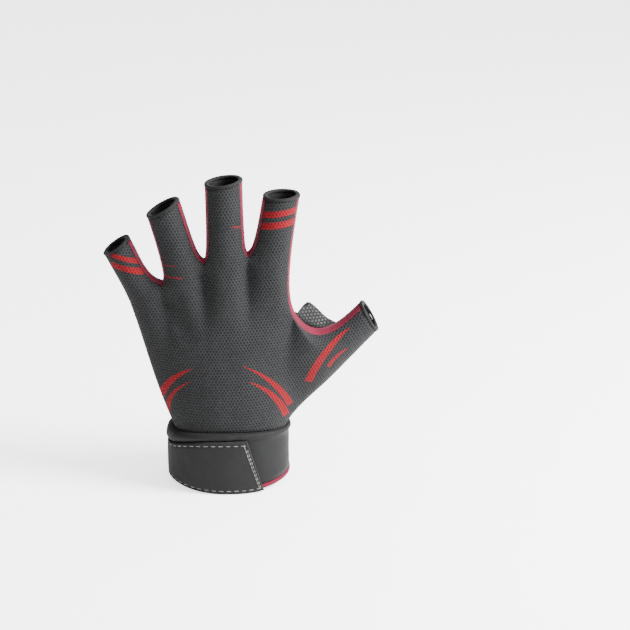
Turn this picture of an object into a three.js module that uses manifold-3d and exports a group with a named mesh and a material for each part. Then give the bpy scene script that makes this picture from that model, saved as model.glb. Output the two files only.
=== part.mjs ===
// A fingerless fitness glove for the left hand, as it stands when worn, with its cuff at the bottom.
// Millimetres, +Z up. The back of the hand faces -Y, the palm faces +Y and the thumb points to +X.
// The origin is the middle of the wrist opening, level with the lowest point of the cuff's rim.
import * as THREE from 'three';
import Module from 'manifold-3d';

const { lerp, degToRad, smoothstep } = THREE.MathUtils;

// Overall sizes
const gloveHeight = 182.5; // rim of the cuff to the middle finger's open end
const palmWidth = 97; // across the knuckles
const backDepth = 15.5; // middle of the hand to its back
const palmDepth = 16.5; // middle of the hand to its palm
const handFlatness = 0.8; // exponent of the hand's section, 1 for half an ellipse, less for a flatter one
const digitWidth = 21.9; // middle finger, outside
const digitDepth = 20.5;

// Cuff
const cuffWidth = 69; // wrist band, outside
const cuffDepth = 49;
const cuffSquareness = 2.25; // exponent of the band's oval, 2 for an ellipse
const cuffHeight = 37.5; // at the middle of the back and of the palm
const cuffSideDrop = 2.5; // how much lower its top is at the two sides
const rimSideRise = 4.5; // how much higher its rim is at the two sides
const strapTop = 33; // closure strap's upper edge at the middle of the back
const strapPalmDrop = 2.5; // how much lower that edge is at the middle of the palm
const strapSideDrop = 6.5; // how much lower that edge is at the little finger's side
const rollReach = 3.4; // how far the roll over the strap stands out, at the little finger's side
const rollReachThumb = 1.2;

// Walls and clearances
const backWall = 1.6;
const palmWall = 1.8;
const gussetWall = 1.5;
const bandWall = 2.4;
const strapWall = 2.1;
const padEdge = 0.9;
const padCrown = 2.7;
const padGap = 0.4;
const padBridge = 4; // pads span hollows narrower than about twice this
const padRidgeStep = 6;
const seamGap = 0.38;
const hemHeight = 1.7;
const hemWall = 2.2;
const hemProud = 0.1; // how far a hem stands outside its digit
const hemRounding = 0.5;
const bindingHeight = 3.2;
const bindingProud = 0.5; // how far the binding stands outside the band
const bindingInside = 0.3; // how far it stands inside the band
const bindingRounding = 0.6;
const bandRounding = 0.5;

// Lengthwise shape of the hand
const backBow = 3; // the hand's bow towards its back, at mid height
const palmArch = 2; // how far the knuckles' two ends turn to the palm
const thumbForward = 9; // how far the thumb's end lies in front of the palm's middle
const backValleys = 0.42; // where the hollows between the digits begin: cuff 0, crotches 1
const palmValleys = 0.62;
const seamAngle = degToRad(33); // from a digit's side to its gusset's seams
const openEndTilt = degToRad(2); // open ends face a little to the back

// Fold of the palm's leather that stands up behind the web between the index finger and the thumb
const foldRise = 14;
const foldHeading = degToRad(80); // its way up in the layout, from the thumb's side
const foldForward = 3; // how far it leans to the palm

// How fine the faceted skin is
const digitColumns = 6;
const handRows = 11;
const digitRows = 7;
const gussetColumns = 3;
const cuffSegments = 40;
const strapSegments = 28;
const loopCornerSteps = 5;

// Digits from the little finger to the thumb. x and z place the middle of the open end, as shares of the
// palm's width and of the glove's height; lean and cut are degrees; width, depth and root are shares of the
// middle finger's; straight is the share of each side that runs along the digit's axis.
const DIGITS = [
  {
    name: 'little', x: -0.655, z: 0.797, lean: -27, cut: 7,
    width: 0.82, depth: 0.86, root: 0.92, straight: 0.42,
  },
  {
    name: 'ring', x: -0.376, z: 0.92, lean: -17.5, cut: 9,
    width: 0.96, depth: 0.95, root: 1.0, straight: 0.42,
  },
  {
    name: 'middle', x: -0.018, z: 1.0, lean: -1, cut: 5,
    width: 1.0, depth: 1.0, root: 1.05, straight: 0.42,
  },
  {
    name: 'index', x: 0.322, z: 0.954, lean: 10, cut: 8,
    width: 0.96, depth: 0.97, root: 1.02, straight: 0.42,
  },
  {
    name: 'thumb', x: 0.855, z: 0.529, lean: 47, cut: -12,
    width: 0.94, depth: 1.0, root: 1.12, straight: 0.55,
  },
];

// Crotches between neighbouring digits: x and z as above, the slant of the crotch's bottom in degrees, how far
// each side's curve follows that slant, as shares of the digits' width, and how fast the curves rise from it.
const CROTCHES = [
  { x: -0.388, z: 0.68, slant: 0, before: 0.45, after: 0.1, rise: 0.25 },
  { x: -0.14, z: 0.75, slant: 0, before: 0.2, after: 0.07, rise: 0.3 },
  { x: 0.118, z: 0.77, slant: 0, before: 0.08, after: 0.16, rise: 0.2 },
  { x: 0.397, z: 0.566, slant: -60, before: 0.55, after: 1.02, rise: 0 },
];

// The two outer edges of the hand: the point level with the crotches, and the edge's heading there and at
// the cuff.
const LITTLE_EDGE = { x: -0.575, z: 0.592, heading: [-0.3, 0.95], cuffHeading: [-0.39, 0.92] };
const THUMB_EDGE = { x: 0.643, z: 0.344, heading: [0.73, 0.68], cuffHeading: [0.56, 0.83] };

// Rounded mounds and the hollow of the palm: place and spread as shares of the palm's width and the glove's
// height, and rise as a share of the palm's depth.
const MOUNDS = [
  { name: 'thumb mound', x: 0.22, z: 0.37, spreadX: 0.17, spreadZ: 0.15, rise: 0.3 },
  { name: 'heel mound', x: -0.27, z: 0.34, spreadX: 0.14, spreadZ: 0.14, rise: 0.2 },
  { name: 'hollow', x: -0.02, z: 0.42, spreadX: 0.12, spreadZ: 0.12, rise: -0.16 },
];

// Palm pads: outline points going round, and the ends of the ridge that the pad rises to. x is a share of
// the palm's width, and z runs from the cuff's top, 0, to the middle finger's open end, 1.
const PADS = [
  {
    name: 'knuckle_pad',
    ridge: [[0.268, 0.52], [-0.402, 0.445]],
    outline: [
      [0.288, 0.582], [0.255, 0.596], [0.18, 0.596], [0.135, 0.563], [0.084, 0.596], [-0.015, 0.599],
      [-0.111, 0.592], [-0.144, 0.573], [-0.176, 0.537], [-0.227, 0.567], [-0.278, 0.562], [-0.345, 0.529],
      [-0.387, 0.499], [-0.459, 0.49], [-0.479, 0.449], [-0.469, 0.407], [-0.361, 0.401], [-0.157, 0.424],
      [0.135, 0.44], [0.265, 0.452], [0.309, 0.495], [0.309, 0.547],
    ],
  },
  {
    name: 'thumb_pad',
    ridge: [[0.124, 0.348], [0.17, 0.1]],
    outline: [
      [0.298, 0.381], [0.259, 0.415], [0.174, 0.422], [0.052, 0.421], [-0.053, 0.413], [-0.085, 0.388],
      [-0.046, 0.34], [-0.001, 0.27], [0.032, 0.198], [0.054, 0.119], [0.068, 0.041], [0.119, 0.014],
      [0.222, 0.014], [0.26, 0.05], [0.256, 0.177], [0.249, 0.251], [0.278, 0.327],
    ],
  },
  {
    name: 'heel_pad',
    ridge: [[-0.309, 0.225], [-0.196, 0.086]],
    outline: [
      [-0.087, 0.045], [-0.091, 0.11], [-0.118, 0.186], [-0.151, 0.24], [-0.202, 0.279], [-0.279, 0.298],
      [-0.361, 0.295], [-0.406, 0.273], [-0.408, 0.235], [-0.371, 0.161], [-0.326, 0.088], [-0.272, 0.032],
      [-0.208, 0.013], [-0.132, 0.016],
    ],
  },
];

// Rings of a pad, from its outline to its ridge: how far in, as a share of the way to the ridge, and how high,
// as a share of the rise from its edge to its crown
const PAD_RINGS = [
  { inward: 0, rise: 0 },
  { inward: 0.12, rise: 0.7 },
  { inward: 0.35, rise: 1 },
  { inward: 0.65, rise: 1 },
];

// Ends of the closure strap, as shares of half the band's width: on the palm, and on the back at its two
// edges
const strapEndPalm = 0.25;
const strapEndBackTop = 0.26;
const strapEndBackRim = 0.52;

// Pull loop: a tape sewn on above the strap
const loopWidth = 26;
const loopHeight = 11.5;
const loopCentreX = 0;
const loopCorner = 4.5;
const loopLean = 0.9; // how much further in its legs are at the top
const loopTape = 3.8;
const loopTapeWall = 1.2;

const MATERIALS = {
  backCloth: { color: 0x2b2c2d, roughness: 0.85, metalness: 0 },
  palmLeather: { color: 0x333435, roughness: 0.6, metalness: 0 },
  crimson: { color: 0x8c1c34, roughness: 0.8, metalness: 0 },
  padLeather: { color: 0x3a3a3b, roughness: 0.5, metalness: 0 },
  neoprene: { color: 0x2f3031, roughness: 0.75, metalness: 0 },
  hemTape: { color: 0x1b1b1c, roughness: 0.8, metalness: 0 },
};

const glove = new THREE.Group();

function addPiece(name, geometry, material) {
  const mesh = new THREE.Mesh(geometry, new THREE.MeshStandardMaterial(MATERIALS[material]));
  mesh.name = name;
  glove.add(mesh);
}

// Layout: the glove seen flat from its back, as x and z
const place = ({ x, z }) => new THREE.Vector2(x * palmWidth, z * gloveHeight);

function curveBetween(start, startHandle, end, endHandle) {
  return new THREE.CubicBezierCurve(start, start.clone().add(startHandle), end.clone().sub(endHandle), end);
}

function heading(direction, length) {
  return new THREE.Vector2(...direction).normalize().multiplyScalar(length);
}

// Signed height of the hand's middle surface over the plane y = 0
function middleDepth(x, z) {
  const arch = palmArch * (x / (palmWidth / 2)) ** 2;
  const bow = backBow * Math.sin((Math.PI * z) / gloveHeight);
  return arch - bow + thumbForward * smoothstep(x, 0.35 * palmWidth, 0.95 * palmWidth);
}

function moundRise(x, z) {
  let rise = 0;
  for (const m of MOUNDS) {
    const across = (x - m.x * palmWidth) / (m.spreadX * palmWidth);
    const along = (z - m.z * gloveHeight) / (m.spreadZ * gloveHeight);
    rise += m.rise * palmDepth * Math.exp(-across * across - along * along);
  }
  return rise;
}

// The band's oval. The angle runs from the thumb's side, 0, over the back, 90 degrees, to the little
// finger's side, 180.
function cuffOval(angle, outward) {
  const power = 2 / cuffSquareness;
  const c = Math.cos(angle);
  const s = Math.sin(angle);
  return {
    x: (cuffWidth / 2 + outward) * Math.sign(c) * Math.abs(c) ** power,
    y: -(cuffDepth / 2 + outward) * Math.sign(s) * Math.abs(s) ** power,
  };
}

const sideShare = (angle) => Math.cos(angle) ** 2;
const littleShare = (angle) => ((1 - Math.cos(angle)) / 2) ** 2;
const rimHeight = (angle) => rimSideRise * sideShare(angle);
const bandTop = (angle) => cuffHeight - cuffSideDrop * sideShare(angle);
const palmShare = (angle) => (1 - Math.sin(angle)) / 2;

function strapEdge(angle) {
  const sideDrop = strapSideDrop * littleShare(angle) * sideShare(angle);
  return strapTop - strapPalmDrop * palmShare(angle) - sideDrop;
}

// Direction of a crotch's bottom, towards the thumb
function crotchHeading(crotch) {
  const slant = degToRad(crotch.slant);
  return new THREE.Vector2(Math.cos(slant), Math.sin(slant));
}

// One digit: its two silhouette curves in the layout, its axis and its half depth
function makeDigit(row, i) {
  const lean = degToRad(row.lean);
  const axis = new THREE.Vector2(Math.sin(lean), Math.cos(lean));
  const tip = place(row).sub(axis.clone().multiplyScalar(hemHeight));
  const across = new THREE.Vector2(Math.cos(lean), -Math.sin(lean));
  const slope = Math.tan(degToRad(row.cut));
  const half = across.clone().addScaledVector(axis, slope).multiplyScalar((row.width * digitWidth) / 2);
  const side = (sign) => {
    const crotch = CROTCHES[sign < 0 ? i - 1 : i];
    const end = tip.clone().addScaledVector(half, sign);
    if (!crotch) {
      const edge = sign < 0 ? LITTLE_EDGE : THUMB_EDGE;
      const root = place(edge);
      const reach = root.distanceTo(end) / 3;
      return curveBetween(root, heading(edge.heading, reach), end, axis.clone().multiplyScalar(reach));
    }
    const root = place(crotch);
    const reach = (sign < 0 ? crotch.after : crotch.before) * digitWidth;
    const bottom = crotchHeading(crotch);
    const outward = new THREE.Vector2(-bottom.y, bottom.x);
    const start = bottom.multiplyScalar(-sign).addScaledVector(outward, crotch.rise).setLength(reach);
    const straight = axis.clone().multiplyScalar(row.straight * root.distanceTo(end));
    return curveBetween(root, start, end, straight);
  };
  const halfDepth = (row.depth * digitDepth) / 2;
  const crotches = [CROTCHES[i - 1], CROTCHES[i]];
  return { ...row, axis, tip, half, slope, halfDepth, crotches, sides: [side(-1), side(1)] };
}

const digits = DIGITS.map(makeDigit);
const seamInset = (digit) => (1 - Math.cos(seamAngle)) * digit.width * (digitWidth / 2);

// Share of a digit's silhouette at a row above the crotches: closer together near the crotch
const rowShare = (t) => lerp(t, t * t, 0.6);

// Point of a digit's silhouette, and the same point moved in to the seam of the gusset
function silhouette(digit, s, t) {
  const share = rowShare(t);
  const curve = digit.sides[s];
  const point = curve.getPointAt(share);
  const crotch = digit.crotches[s];
  const turn = s === 0 ? 1 : -1;
  const along = t === 0 && crotch ? crotchHeading(crotch) : curve.getTangentAt(share).multiplyScalar(turn);
  const inward = new THREE.Vector2(along.y, -along.x);
  const inset = crotch ? seamInset(digit) : 0;
  return { point, inward, seam: point.clone().addScaledVector(inward, inset), inset };
}

const digitHalfDepth = (digit, t) => digit.halfDepth * lerp(digit.root, 1, smoothstep(t, 0, 1));

// Moves a point near the open end along the digit, so that the end faces a little to the back
function tiltEnd(digit, point, depth, t) {
  const shift = Math.tan(openEndTilt) * depth * smoothstep(t, 0.4, 1);
  return point.clone().addScaledVector(digit.axis, shift);
}

const inSpace = (flat, depth) => new THREE.Vector3(flat.x, middleDepth(flat.x, flat.y) + depth, flat.y);

// Outer skin of a digit on the back (way -1) or the palm (way 1). u runs from its left side, 0, to its right
// side, 1.
function digitPoint(digit, way, u, t) {
  const start = Math.PI - (digit.crotches[0] ? seamAngle : 0);
  const end = digit.crotches[1] ? seamAngle : 0;
  const angle = lerp(start, end, u);
  const share = (Math.cos(start) - Math.cos(angle)) / (Math.cos(start) - Math.cos(end));
  const flat = silhouette(digit, 0, t).seam.lerp(silhouette(digit, 1, t).seam, share);
  const depth = way * digitHalfDepth(digit, t) * Math.sin(angle);
  return { flat: tiltEnd(digit, flat, depth, t), depth };
}

// Gusset skin on one side of a digit, across from the back seam, 0, to the palm seam, 1
function gussetPoint(digit, s, across, t) {
  const edge = silhouette(digit, s, t);
  const angle = lerp(-seamAngle, seamAngle, across);
  const bulge = (Math.cos(angle) - Math.cos(seamAngle)) / (1 - Math.cos(seamAngle));
  const flat = edge.point.clone().addScaledVector(edge.inward, edge.inset * (1 - bulge));
  const depth = digitHalfDepth(digit, t) * Math.sin(angle);
  return inSpace(tiltEnd(digit, flat, depth, t), depth);
}

// Share of the web fold's rise at a column of the index finger or the thumb, and a row from the cuff
function webFold(i, column, row) {
  const thumb = DIGITS.length - 1;
  if (i < thumb - 1) return 0;
  const fromSeam = (i === thumb ? column : digitColumns - column) / digitColumns;
  const below = smoothstep((handRows - row) / handRows, 0, 0.08);
  const past = Math.max(0, row - handRows) / digitRows;
  const across = lerp(smoothstep(fromSeam, 0, 0.16), 1, below) * (1 - smoothstep(fromSeam, 0.2, 0.6));
  const end = i === thumb ? 1 - smoothstep(past, 0.35, 0.8) : 1 - smoothstep(past, 0, 0.12);
  const start = lerp(0.2, 1, smoothstep(past, 0, 0.18));
  const foot = 1 - smoothstep((handRows - row) / handRows, 0, 0.19);
  return across * start * end * foot;
}

// Skin of the hand below the crotches. column counts over all digits, and v runs from the cuff, 0, to the
// crotches, 1.
const columns = DIGITS.length * digitColumns;
const handEdges = [LITTLE_EDGE, THUMB_EDGE].map((edge, s) => {
  const angle = s === 0 ? Math.PI : 0;
  const start = new THREE.Vector2(cuffOval(angle, -1).x, bandTop(angle) + seamGap);
  const end = place(edge);
  const reach = start.distanceTo(end) / 3;
  return curveBetween(start, heading(edge.cuffHeading, reach), end, heading(edge.heading, reach));
});

function handPoint(way, column, v) {
  const share = column / columns;
  const angle = Math.PI * (1 - share);
  const i = Math.min(Math.floor(column / digitColumns), DIGITS.length - 1);
  const root = digitPoint(digits[i], way, (column - i * digitColumns) / digitColumns, 0);
  const oval = cuffOval(angle, -1);
  const start = new THREE.Vector2(oval.x, bandTop(angle) + seamGap);
  const flat = start.clone().lerp(root.flat, v);
  handEdges.forEach((curve, s) => {
    const strength = (s === 0 ? 1 - share : share) ** 2;
    const straight = curve.v0.clone().lerp(curve.v3, v);
    flat.add(curve.getPoint(v).sub(straight).multiplyScalar(strength));
  });
  const across = Math.sin(angle);
  const full = way < 0 ? backDepth : palmDepth;
  const handDepth = full * across ** handFlatness + (way > 0 ? moundRise(flat.x, flat.y) * across : 0);
  const cuffToHand = smoothstep(v, 0, 0.5);
  const handToDigits = smoothstep(v, way < 0 ? backValleys : palmValleys, 1);
  const depth = lerp(lerp(Math.abs(oval.y), handDepth, cuffToHand), Math.abs(root.depth), handToDigits);
  const middle = middleDepth(flat.x, flat.y) * smoothstep(v, 0, 0.3);
  return new THREE.Vector3(flat.x, middle + way * depth, flat.y);
}

// The whole skin as one closed sheet, whose faces are shared out among the panels and gussets
function buildSkin() {
  const points = [];
  const index = new Map();
  const faces = new Map();
  const vertex = (key, make) => {
    if (!index.has(key)) {
      index.set(key, points.length);
      points.push(make());
    }
    return index.get(key);
  };
  const quad = (piece, a, b, c, d) => {
    if (!faces.has(piece)) faces.set(piece, []);
    faces.get(piece).push([a, b, c], [a, c, d]);
  };
  const skinVertex = (way, i, column, row) => {
    const whole = i * digitColumns + column;
    const onEdge = whole === 0 || whole === columns;
    const layer = onEdge ? 'edge' : way;
    const folded = (point) => {
      const rise = way > 0 ? foldRise * webFold(i, column, row) : 0;
      const lean = (rise / foldRise) * foldForward;
      point.add(new THREE.Vector3(rise * Math.cos(foldHeading), lean, rise * Math.sin(foldHeading)));
      return point;
    };
    if (row <= handRows) {
      return vertex(`${layer} ${whole} ${row}`, () => folded(handPoint(way, whole, row / handRows)));
    }
    return vertex(`${layer} ${i} ${column} ${row}`, () => {
      const t = (row - handRows) / digitRows;
      const { flat, depth } = digitPoint(digits[i], way, column / digitColumns, t);
      return folded(inSpace(flat, depth));
    });
  };
  for (const [piece, way] of [['back_panel', -1], ['palm_panel', 1]]) {
    for (let i = 0; i < DIGITS.length; i += 1) {
      for (let column = 0; column < digitColumns; column += 1) {
        for (let row = 0; row < handRows + digitRows; row += 1) {
          const corners = [[0, 0], [1, 0], [1, 1], [0, 1]];
          if (way > 0) corners.reverse();
          quad(piece, ...corners.map(([c, r]) => skinVertex(way, i, column + c, row + r)));
        }
      }
    }
  }
  CROTCHES.forEach((_, k) => {
    const gussetVertex = (step, across) => {
      const s = step <= 0 ? 1 : 0;
      const i = step <= 0 ? k : k + 1;
      const rows = Math.abs(step);
      if (across === 0 || across === gussetColumns) {
        const way = across === 0 ? -1 : 1;
        return skinVertex(way, i, s * digitColumns, handRows + rows);
      }
      const make = () => gussetPoint(digits[i], s, across / gussetColumns, rows / digitRows);
      return vertex(`gusset ${k} ${step} ${across}`, make);
    };
    const piece = `gusset_${DIGITS[k].name}_${DIGITS[k + 1].name}`;
    for (let step = -digitRows; step < digitRows; step += 1) {
      for (let across = 0; across < gussetColumns; across += 1) {
        const corners = [[0, 0], [1, 0], [1, 1], [0, 1]];
        quad(piece, ...corners.map(([r, c]) => gussetVertex(step + r, across + c)));
      }
    }
  });
  return { points, faces };
}

function normalsOf(points, triangles) {
  const geometry = new THREE.BufferGeometry().setFromPoints(points);
  geometry.setIndex(triangles.flat());
  geometry.computeVertexNormals();
  const normal = geometry.getAttribute('normal');
  return points.map((_, i) => new THREE.Vector3().fromBufferAttribute(normal, i));
}

// Edges that only one triangle has, each in that triangle's direction
function openEdges(triangles) {
  const edges = new Map();
  for (const [a, b, c] of triangles) {
    for (const [from, to] of [[a, b], [b, c], [c, a]]) edges.set(`${from} ${to}`, [from, to]);
  }
  return [...edges.values()].filter(([from, to]) => !edges.has(`${to} ${from}`));
}

// Pulls the open edges of a sheet in along its surface, which leaves room between neighbouring pieces
function insetEdges(points, normals, triangles, distance) {
  const moved = points.map((p) => p.clone());
  const inward = new Map();
  for (const [from, to] of openEdges(triangles)) {
    const along = points[to].clone().sub(points[from]);
    const into = normals[from].clone().add(normals[to]).cross(along).normalize();
    for (const i of [from, to]) inward.set(i, [...(inward.get(i) ?? []), into]);
  }
  for (const [i, [first, second]] of inward) {
    const both = first.clone().add(second).normalize();
    moved[i].addScaledVector(both, distance / Math.max(0.5, both.dot(first)));
  }
  return moved;
}

// Closed solid between an outer sheet and an inner one that has the same triangles
function solidBetween(outer, inner, triangles) {
  const used = [...new Set(triangles.flat())];
  const slot = new Map(used.map((i, n) => [i, n]));
  const count = used.length;
  const faces = [];
  for (const [a, b, c] of triangles) {
    faces.push(slot.get(a), slot.get(b), slot.get(c));
    faces.push(count + slot.get(c), count + slot.get(b), count + slot.get(a));
  }
  for (const [from, to] of openEdges(triangles)) {
    const [a, b] = [slot.get(from), slot.get(to)];
    if (from < to) faces.push(b, a, count + a, b, count + a, count + b);
    else faces.push(b, a, count + b, a, count + a, count + b);
  }
  const geometry = new THREE.BufferGeometry();
  geometry.setFromPoints([...used.map((i) => outer[i]), ...used.map((i) => inner[i])]);
  geometry.setIndex(faces);
  geometry.computeVertexNormals();
  return geometry;
}

function clothPiece(skin, normals, name, wall) {
  const triangles = skin.faces.get(name);
  const outer = insetEdges(skin.points, normals, triangles, seamGap / 2);
  const inner = outer.map((p, i) => p.clone().addScaledVector(normals[i], -wall));
  return solidBetween(outer, inner, triangles);
}

// Solid swept round a ring or along an open run of cross-sections, each with the same number of points
function sweptSolid(sections, closed) {
  const points = sections.flat();
  const n = sections[0].length;
  const faces = [];
  const last = closed ? sections.length : sections.length - 1;
  for (let i = 0; i < last; i += 1) {
    const next = (i + 1) % sections.length;
    for (let j = 0; j < n; j += 1) {
      const k = (j + 1) % n;
      const [a, b, c, d] = [i * n + j, i * n + k, next * n + k, next * n + j];
      faces.push(a, b, c, a, c, d);
    }
  }
  if (!closed) {
    const end = (sections.length - 1) * n;
    for (let j = 1; j < n - 1; j += 1) faces.push(0, j + 1, j, end, end + j, end + j + 1);
  }
  const geometry = new THREE.BufferGeometry().setFromPoints(points);
  geometry.setIndex(faces);
  geometry.computeVertexNormals();
  return geometry;
}

// Hem of a digit's open end: a ring of tape that sits on the ends of its panels and gussets
function makeHem(digit) {
  const loop = [];
  const skinEnd = (way, c) => {
    const { flat, depth } = digitPoint(digit, way, c / digitColumns, 1);
    loop.push(inSpace(flat, depth));
  };
  for (let c = digitColumns; c > 0; c -= 1) skinEnd(-1, c);
  for (let c = 0; digit.crotches[0] && c < gussetColumns; c += 1) {
    loop.push(gussetPoint(digit, 0, c / gussetColumns, 1));
  }
  for (let c = 0; c < digitColumns; c += 1) skinEnd(1, c);
  for (let c = gussetColumns; digit.crotches[1] && c > 0; c -= 1) {
    loop.push(gussetPoint(digit, 1, c / gussetColumns, 1));
  }
  const axis = inSpace(digit.tip.clone().add(digit.axis), 0).sub(inSpace(digit.tip, 0)).normalize();
  const low = seamGap / 2;
  const inside = hemProud - hemWall;
  const profile = [
    [hemProud, low], [hemProud, hemHeight - hemRounding], [hemProud - hemRounding, hemHeight],
    [inside, hemHeight - hemRounding / 2], [inside, low],
  ];
  return sweptSolid(loop.map((point, k) => {
    const before = loop[(k + loop.length - 1) % loop.length];
    const after = loop[(k + 1) % loop.length];
    const outward = axis.clone().cross(after.clone().sub(before)).normalize();
    return profile.map(([out, up]) => {
      const moved = point.clone().addScaledVector(outward, out);
      return moved.addScaledVector(axis, up);
    });
  }), true);
}

// Cross-section of the cuff at an angle, from pairs of distance outside the band and height
function cuffSection(angle, pairs) {
  return pairs.map(([out, z]) => {
    const { x, y } = cuffOval(angle, out);
    return new THREE.Vector3(x, y, z);
  });
}

const ring = (count, make) => Array.from({ length: count }, (_, k) => make((2 * Math.PI * k) / count));

// Band round the wrist, whose top is rolled out over the closure strap
function makeBand() {
  return sweptSolid(ring(cuffSegments, (angle) => {
    const low = rimHeight(angle) + bindingHeight;
    const rollLow = strapEdge(angle) + seamGap;
    const rollMiddle = (rollLow + bandTop(angle)) / 2;
    const rollHalf = bandTop(angle) - rollMiddle;
    const reach = lerp(rollReachThumb, rollReach, littleShare(angle));
    const roll = [-50, 0, 50].map((step) => {
      const turn = degToRad(step);
      return [reach * Math.cos(turn), rollMiddle + rollHalf * Math.sin(turn)];
    });
    const top = [[-bandRounding, bandTop(angle)], [-bandWall, bandTop(angle) - bandRounding]];
    return cuffSection(angle, [[-bandWall, low], [0, low], [0, rollLow], ...roll, ...top]);
  }), true);
}

// Bound edge of the wrist opening
function makeBinding() {
  const high = bindingHeight - seamGap;
  return sweptSolid(ring(cuffSegments, (angle) => {
    const low = rimHeight(angle);
    const out = lerp(bindingProud, 0, smoothstep(littleShare(angle), 0.1, 0.3));
    const inside = -bandWall - bindingInside;
    const outer = [[out - bindingRounding, low], [out, low + bindingRounding], [out, low + high]];
    return cuffSection(angle, [[inside, low + high], [inside, low + bindingRounding], ...outer]);
  }), true);
}

// Angles of the closure strap's ends, from the x where each lies, as shares of half the band's width
const ovalAngle = (share) => Math.acos(share ** (cuffSquareness / 2));

function makeStrap() {
  const sections = [];
  const palmEnd = 2 * Math.PI - ovalAngle(strapEndPalm);
  const inner = bindingProud + seamGap;
  for (let k = 0; k <= strapSegments; k += 1) {
    const share = k / strapSegments;
    const section = [[0, 0], [1, 0], [1, 1], [0, 1]].map(([out, up]) => {
      const backEnd = ovalAngle(lerp(strapEndBackRim, strapEndBackTop, up));
      const angle = lerp(backEnd, palmEnd, share);
      const z = lerp(rimHeight(angle), strapEdge(angle), up);
      return cuffSection(angle, [[inner + out * strapWall, z]])[0];
    });
    sections.push(section);
  }
  return sweptSolid(sections, false);
}

// Depth of the palm's faceted skin at a place of the layout, found in the triangle there, and none beside it
function palmSurface(points, triangles) {
  const flat = triangles.map((t) => t.map((i) => points[i]));
  return (x, z) => {
    for (const [a, b, c] of flat) {
      const area = (b.x - a.x) * (c.z - a.z) - (c.x - a.x) * (b.z - a.z);
      const u = ((b.x - x) * (c.z - z) - (c.x - x) * (b.z - z)) / area;
      const v = ((c.x - x) * (a.z - z) - (a.x - x) * (c.z - z)) / area;
      if (u >= 0 && v >= 0 && u + v <= 1) return u * a.y + v * b.y + (1 - u - v) * c.y;
    }
    return -Infinity;
  };
}

const wasm = await Module();
wasm.setup();

function toManifold(geometry) {
  return new wasm.Manifold(new wasm.Mesh({
    numProp: 3,
    vertProperties: geometry.getAttribute('position').array,
    triVerts: Uint32Array.from(geometry.index.array),
  }));
}

function fromManifold(solid) {
  const mesh = solid.getMesh();
  const geometry = new THREE.BufferGeometry();
  geometry.setAttribute('position', new THREE.BufferAttribute(mesh.vertProperties, 3));
  geometry.setIndex(new THREE.BufferAttribute(mesh.triVerts, 1));
  geometry.computeVertexNormals();
  return geometry;
}

const shifted = (points, y) => points.map((p) => p.clone().setY(p.y + y));

// A stitched pad: its edge follows the outline, it rises to its ridge, and its underside follows the palm
function makePad(pad, surface, palmBlock) {
  const flat = ([x, z]) => new THREE.Vector2(x * palmWidth, lerp(cuffHeight, gloveHeight, z));
  const outline = new THREE.SplineCurve([...pad.outline, pad.outline[0]].map(flat));
  const count = pad.outline.length * 2;
  const edge = outline.getPoints(count).slice(0, count);
  if (THREE.ShapeUtils.isClockWise(edge)) edge.reverse();
  const [start, end] = pad.ridge.map(flat);
  const ridge = end.clone().sub(start);
  const ridgeShare = (p) => THREE.MathUtils.clamp(p.clone().sub(start).dot(ridge) / ridge.lengthSq(), 0, 1);
  const onRidge = (share) => start.clone().addScaledVector(ridge, share);
  const ringAt = ({ inward }) => edge.map((p) => p.clone().lerp(onRidge(ridgeShare(p)), inward));
  const layout = PAD_RINGS.flatMap(ringAt);
  const triangles = [];
  for (let r = 0; r < PAD_RINGS.length - 1; r += 1) {
    for (let k = 0; k < count; k += 1) {
      const [a, b] = [r * count + k, r * count + ((k + 1) % count)];
      triangles.push([a, a + count, b], [b, a + count, b + count]);
    }
  }
  const inner = layout.length - count;
  const ridgeStart = layout.length;
  const pieces = Math.round(ridge.length() / padRidgeStep);
  for (let j = 0; j <= pieces; j += 1) layout.push(onRidge(j / pieces));
  const nearest = edge.map((p) => Math.round(ridgeShare(p) * pieces));
  for (let k = 0; k < count; k += 1) {
    const next = (k + 1) % count;
    triangles.push([inner + k, ridgeStart + nearest[k], inner + next]);
    const way = Math.sign(nearest[next] - nearest[k]);
    for (let j = nearest[k]; j !== nearest[next]; j += way) {
      triangles.push([inner + next, ridgeStart + j, ridgeStart + j + way]);
    }
  }
  const heightOf = (i) => lerp(padEdge, padCrown, PAD_RINGS[Math.floor(i / count)]?.rise ?? 1);
  const skinPoints = layout.map((p, i) => {
    const here = surface(p.x, p.y);
    const beside = [[-padBridge, 0], [padBridge, 0], [0, -padBridge], [0, padBridge]]
      .map(([x, z]) => surface(p.x + x, p.y + z)).filter(Number.isFinite);
    const mean = beside.reduce((sum, y) => sum + y, here) / (beside.length + 1);
    return new THREE.Vector3(p.x, (i < count ? here : mean) + padGap, p.y);
  });
  const over = skinPoints.map((p, i) => p.clone().setY(p.y + heightOf(i)));
  const block = toManifold(solidBetween(over, shifted(skinPoints, -padCrown), triangles));
  return fromManifold(block.subtract(palmBlock));
}

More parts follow.
